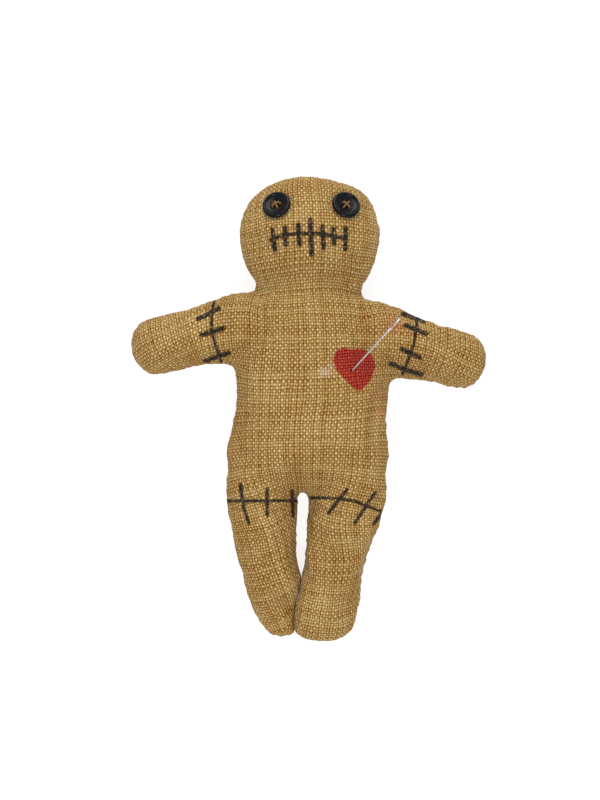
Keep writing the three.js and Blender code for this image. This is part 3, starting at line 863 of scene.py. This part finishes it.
def mark_mask(kind, raggedness, softness):
    """How fully the mark covers the cloth, from its kept distance and a ragged edge."""
    distance = add_node(tree, "ShaderNodeAttribute", attribute_name=kind).outputs["Fac"]
    ragged = math_node(tree, "MULTIPLY_ADD", math_node(tree, "SUBTRACT", smear, 0.5), raggedness, distance)
    return math_node(tree, "MULTIPLY_ADD", ragged, -1 / softness, 0.5, clamp=True)


red_smudge = add_node(tree, "ShaderNodeAttribute", attribute_name="red_smudge").outputs["Fac"]
cloth_colour = mix_colours(tree, red_smudge, cloth_colour, (0.42, 0.10, 0.05, 1))
pale_smudge = add_node(tree, "ShaderNodeAttribute", attribute_name="pale_smudge").outputs["Fac"]
cloth_colour = mix_colours(
    tree, math_node(tree, "MULTIPLY", pale_smudge, height), cloth_colour, (0.75, 0.68, 0.62, 1)
)
# The paint is darker where the threads dip, as painted shade, and paler on their tops, as painted highlight.
paint = ramp_node(
    tree, height, (0.0, (0.08, 0.001, 0.001)), (0.7, (0.185, 0.003, 0.003)), (0.97, (0.44, 0.060, 0.038))
)
paint = mix_colours(tree, 0.5, paint, mix_colours(tree, 1.0, paint, shade_colour, "MULTIPLY"))
heart_mask = mark_mask("heart", raggedness=1.6, softness=0.7)
heart_cover = math_node(tree, "MULTIPLY", heart_mask, paint_cover)
cloth_colour = mix_colours(tree, heart_cover, cloth_colour, paint)
ink_mask = mark_mask("ink", raggedness=2.4, softness=0.6)
uneven_ink = math_node(tree, "MULTIPLY_ADD", smear, ink_contrast, -ink_missing, clamp=True)
ink_cover = math_node(tree, "MULTIPLY", ink_mask, uneven_ink)
# The ink is a little darker where the threads dip, as painted shade.
ink_colour = ramp_node(tree, height, (0.0, (0.012, 0.010, 0.008)), (0.95, (0.020, 0.017, 0.014)))
cloth_colour = mix_colours(tree, ink_cover, cloth_colour, ink_colour)
# The needle's hole is painted near-black, as painted shade.
needle_hole_shade = add_node(tree, "ShaderNodeAttribute", attribute_name="needle_hole_shade").outputs["Fac"]
cloth_colour = mix_colours(tree, needle_hole_shade, cloth_colour, (0.012, 0.003, 0.002, 1))
tree.links.new(cloth_colour, shader.inputs["Base Color"])
hairs = noise_node(tree, cloth_map, scale=2600, detail=2)
hairy = math_node(tree, "MULTIPLY_ADD", hairs, hair_height, height)
relief = add_node(tree, "ShaderNodeBump", {"Strength": 1.0, "Distance": thread_relief, "Height": hairy})
tree.links.new(relief.outputs[0], shader.inputs["Normal"])
for piece in cloth_parts.values():
    piece.data.materials.clear()
    piece.data.materials.append(burlap)

# The eyes. Each is a glossy black four-hole button of moulded plastic, about 15 mm across,
# with a rounded rim and a shallow dish. It is sewn on where the face slopes outwards.
button_section = [
    (5.9, 0.0), (6.7, 0.12), (7.3, 0.48), (7.62, 0.95), (7.7, 1.35), (7.62, 1.78), (7.38, 2.18),
    (7.0, 2.47), (6.6, 2.58), (6.2, 2.52), (5.92, 2.32), (5.74, 2.04), (5.58, 1.94), (5.4, 1.9),
    (5.18, 1.76), (4.8, 1.68), (3.6, 1.58), (2.0, 1.5), (0.6, 1.48),
]
button_lift = 0.3
button_sides = 72
hole_circle = 2.2
hole_section = [(0.85, -1), (1.0, 1.4), (1.12, 1.78), (1.5, 2.1), (1.5, 4)]
hole_sides = 24
eye_turns = {"left": 45, "right": 22}  # degrees that the four holes are turned
plastic_roughness = 0.16
handling = 0.12


def lofted(name, rings, sides):
    """Extrudes a disc up through rings of (half width, half depth, height), in millimetres."""
    bpy.ops.object.select_all(action="DESELECT")
    bpy.ops.mesh.primitive_circle_add(vertices=sides, radius=mm, fill_type="NGON")
    made = bpy.context.active_object
    made.name = made.data.name = name
    bpy.ops.object.mode_set(mode="EDIT")
    bpy.ops.mesh.select_all(action="SELECT")
    wide, deep, high = 1, 1, 0
    for number, (next_wide, next_deep, next_high) in enumerate(rings):
        if number:
            bpy.ops.mesh.extrude_region_move()
        bpy.ops.transform.translate(value=(0, 0, (next_high - high) * mm))
        bpy.ops.transform.resize(
            value=(next_wide / wide, next_deep / deep, 1), center_override=(0, 0, next_high * mm)
        )
        wide, deep, high = next_wide, next_deep, next_high
    bpy.ops.mesh.select_all(action="SELECT")
    bpy.ops.mesh.normals_make_consistent(inside=False)
    bpy.ops.object.mode_set(mode="OBJECT")
    return made


def cut_with(piece, cutter):
    apply_modifier(piece, "BOOLEAN", object=cutter, operation="DIFFERENCE", solver="EXACT")
    bpy.data.objects.remove(cutter)


def settle(piece, seat):
    """Lays the finished mesh at its seat, with the object itself left at the origin."""
    select_only(piece)
    piece.matrix_world = seat
    bpy.ops.object.transform_apply(location=True, rotation=True, scale=True)
    bpy.ops.object.shade_smooth_by_angle(angle=math.radians(40))


plastic, tree, shader = new_material(
    "black_plastic", {"Base Color": (0.005, 0.005, 0.005, 1), "Specular IOR Level": 0.15}
)
handled = noise_node(tree, add_node(tree, "ShaderNodeTexCoord").outputs["Object"], scale=260, detail=3)
dulled = math_node(tree, "MULTIPLY_ADD", handled, handling, plastic_roughness)
tree.links.new(dulled, shader.inputs["Roughness"])

button_rings = [(radius, radius, height + button_lift) for radius, height in button_section]
drill_rings = [(radius, radius, height) for radius, height in hole_section]
eye_places = {}
for side, (seat, facing) in eye_seats.items():
    eye_places[side] = (
        Matrix.Translation(seat)
        @ Vector((0, 0, 1)).rotation_difference(facing).to_matrix().to_4x4()
        @ Matrix.Rotation(math.radians(90 + eye_turns[side]), 4, "Z")
    )
    button = lofted("eye_" + side, button_rings, button_sides)
    for quarter in range(4):
        drill = lofted("drill", drill_rings, hole_sides)
        angle = math.radians(90 * quarter)
        drill.location = Vector((math.cos(angle), math.sin(angle), 0)) * hole_circle * mm
        cut_with(button, drill)
    settle(button, eye_places[side])
    button.data.materials.append(plastic)
    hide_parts("eye_button_" + side)
    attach(button, "head")

# The threads that tie the eyes on. Each is a thick ochre thread of three twisted strands. It
# crosses over the button twice, goes down through the holes and is knotted behind the cloth.
strand_count = 3
strand_radius = 0.30
twist_radius = 0.28
twist_length = 2.4
knot_depth = -2.5
stitches = ((0, 2.75), (90, 3.45))  # each one's turn in degrees, and its top
hole_top = 1.7
arch_share = 0.62  # how far out a stitch starts to fall, and how high it is there
arch_rise = 0.96
coil_points = 15
coil_turn = 0.9  # radians from point to point
coil_start = 0.55
coil_growth = 0.135  # from point to point
steps_per_point = 30

ochre, tree, shader = new_material("ochre_thread", {"Roughness": 0.85, "Sheen Weight": 0.1})
fibres = noise_node(tree, add_node(tree, "ShaderNodeTexCoord").outputs["Object"], scale=2600, detail=2)
ochre_colour = ramp_node(tree, fibres, (0.3, (0.13, 0.050, 0.009)), (0.7, (0.30, 0.145, 0.034)))
tree.links.new(ochre_colour, shader.inputs["Base Color"])
fuzz = add_node(tree, "ShaderNodeBump", {"Strength": 0.6, "Distance": 0.1 * mm, "Height": fibres})
tree.links.new(fuzz.outputs[0], shader.inputs["Normal"])


def twisted_thread(name, route, side):
    """Lays strands, twisted together, along a route in millimetres. The side is the way
    that the route's plane faces."""
    strands = []
    steps = steps_per_point * (len(route) - 1)
    middle = [outline_point(route, step / steps) for step in range(steps + 1)]
    for number in range(strand_count):
        curve = bpy.data.curves.new(name, "CURVE")
        curve.dimensions = "3D"
        curve.bevel_depth = strand_radius * mm
        curve.bevel_resolution = 1
        curve.use_fill_caps = True
        spline = curve.splines.new("POLY")
        spline.points.add(steps)
        gone = 0
        for step, place in enumerate(middle):
            before, after = middle[max(step - 1, 0)], middle[min(step + 1, steps)]
            forward = (after - before).normalized()
            up = forward.cross(side)
            gone += (place - before).length
            turn = 2 * math.pi * (gone / twist_length + number / strand_count)
            place = place + (side * math.cos(turn) + up * math.sin(turn)) * twist_radius
            spline.points[step].co = (*place * mm, 1)
        strand = bpy.data.objects.new(name, curve)
        bpy.context.scene.collection.objects.link(strand)
        strands.append(strand)
    return strands


for side, seat in eye_places.items():
    strands = []
    for turn, top in stitches:
        out_way = Vector((math.cos(math.radians(turn)), math.sin(math.radians(turn)), 0))
        rising = [(1, knot_depth), (1, 0), (1, hole_top), (arch_share, top * arch_rise)]
        falling = [(-share, height) for share, height in reversed(rising)]
        route = [
            out_way * hole_circle * share + Vector((0, 0, height))
            for share, height in (*rising, (0, top), *falling)
        ]
        strands += twisted_thread("eye_thread_" + side, route, Vector((0, 0, 1)).cross(out_way))
    coil = [
        Vector((math.cos(coil_turn * k), math.sin(coil_turn * k), 0)) * (coil_start + coil_growth * k)
        + Vector((0, 0, knot_depth))
        for k in range(coil_points)
    ]
    strands += twisted_thread("eye_thread_" + side, coil, Vector((0, 0, 1)))
    select_only(*strands)
    bpy.ops.object.convert(target="MESH")
    bpy.ops.object.join()
    thread = bpy.context.active_object
    thread.name = thread.data.name = "eye_thread_" + side
    settle(thread, seat)
    thread.data.materials.clear()
    thread.data.materials.append(ochre)
    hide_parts("button_tie_" + side)
    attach(thread, "head")

# The needle. It is a polished steel darning needle with a long point and a flattened head
# with a long eye, and it is stuck slantwise into the heart.
needle_rings = [
    (0.03, 0.03, -13), (0.12, 0.12, -12.5), (0.24, 0.24, -11), (0.36, 0.36, -8.5), (0.42, 0.42, -6),
    (0.46, 0.46, -3), (0.48, 0.48, 0), (0.54, 0.54, 10), (0.58, 0.58, 20), (0.6, 0.6, 28), (0.72, 0.57, 31),
    (0.88, 0.52, 33), (0.93, 0.48, 35.5), (0.91, 0.47, 38), (0.8, 0.44, 39.6), (0.58, 0.38, 40.5),
    (0.3, 0.24, 40.9), (0.06, 0.06, 41),
]
eye_ring = 0.36
eye_middle = 35.7
eye_length = 6.2
slot_reach = 2
slot_sides = 32
needle_heading = 48  # degrees
needle_slope = 25
needle_sides = 24
steel_roughness = 0.18
wear = 0.25

steel, tree, shader = new_material(
    "polished_steel", {"Base Color": (0.44, 0.42, 0.385, 1), "Metallic": 1.0}
)
worn = noise_node(tree, add_node(tree, "ShaderNodeTexCoord").outputs["Object"], scale=900, detail=3)
dulled = math_node(tree, "MULTIPLY_ADD", worn, wear, steel_roughness)
tree.links.new(dulled, shader.inputs["Roughness"])

needle = lofted("steel_needle", needle_rings, needle_sides)
slot_rings = [(eye_ring, eye_ring, -slot_reach), (eye_ring, eye_ring, slot_reach)]
slot = lofted("slot", slot_rings, slot_sides)
slot.scale = (1, eye_length / 2 / eye_ring, 1)
slot.rotation_euler = (math.pi / 2, 0, 0)
slot.location = (0, 0, eye_middle * mm)
cut_with(needle, slot)
apply_modifier(
    needle, "BEVEL", width=0.07 * mm, segments=2, limit_method="ANGLE", angle_limit=math.radians(45)
)
needle_turn = Matrix.Rotation(math.radians(needle_heading), 4, "Z")
needle_turn = needle_turn @ Matrix.Rotation(math.radians(-needle_slope), 4, "Y")
needle_place = Matrix.Translation(needle_entry) @ needle_turn @ Matrix.Rotation(math.pi / 2, 4, "Y")
settle(needle, needle_place @ Matrix.Rotation(math.pi / 2, 4, "Z"))
needle.data.materials.append(steel)
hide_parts("needle")
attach(needle, "needle")

# The floor and the light. The doll lies on a wide white floor, and two soft lamps and the
# pale room light it evenly from above.
floor_size = 12
bpy.ops.object.select_all(action="DESELECT")
bpy.ops.mesh.primitive_plane_add(size=floor_size)
floor = bpy.context.active_object
floor.name = "floor"
white_floor = new_material(
    "white_floor",
    {
        "Base Color": (0.3, 0.3, 0.3, 1),
        "Roughness": 0.8,
        "Emission Color": (1, 1, 1, 1),
        "Emission Strength": 0.82,
    },
)[0]
floor.data.materials.append(white_floor)


def softbox(name, power, size, place):
    lamp = bpy.data.objects.new(name, bpy.data.lights.new(name, "AREA"))
    bpy.context.scene.collection.objects.link(lamp)
    lamp.data.energy = power
    lamp.data.size = size
    lamp.location = place
    lamp.rotation_euler = Vector(place).to_track_quat("Z", "Y").to_euler()


softbox("key_light", power=19, size=1.0, place=(0, 1.4, 0.95))
softbox("fill_light", power=9, size=0.5, place=(-0.05, -0.8, 1.1))
room = bpy.data.worlds.new("room")
room.use_nodes = True
room.node_tree.nodes["Background"].inputs["Color"].default_value = (0.92, 0.94, 1.0, 1)
room.node_tree.nodes["Background"].inputs["Strength"].default_value = 0.6
bpy.context.scene.world = room
bpy.context.scene.view_settings.view_transform = "Standard"
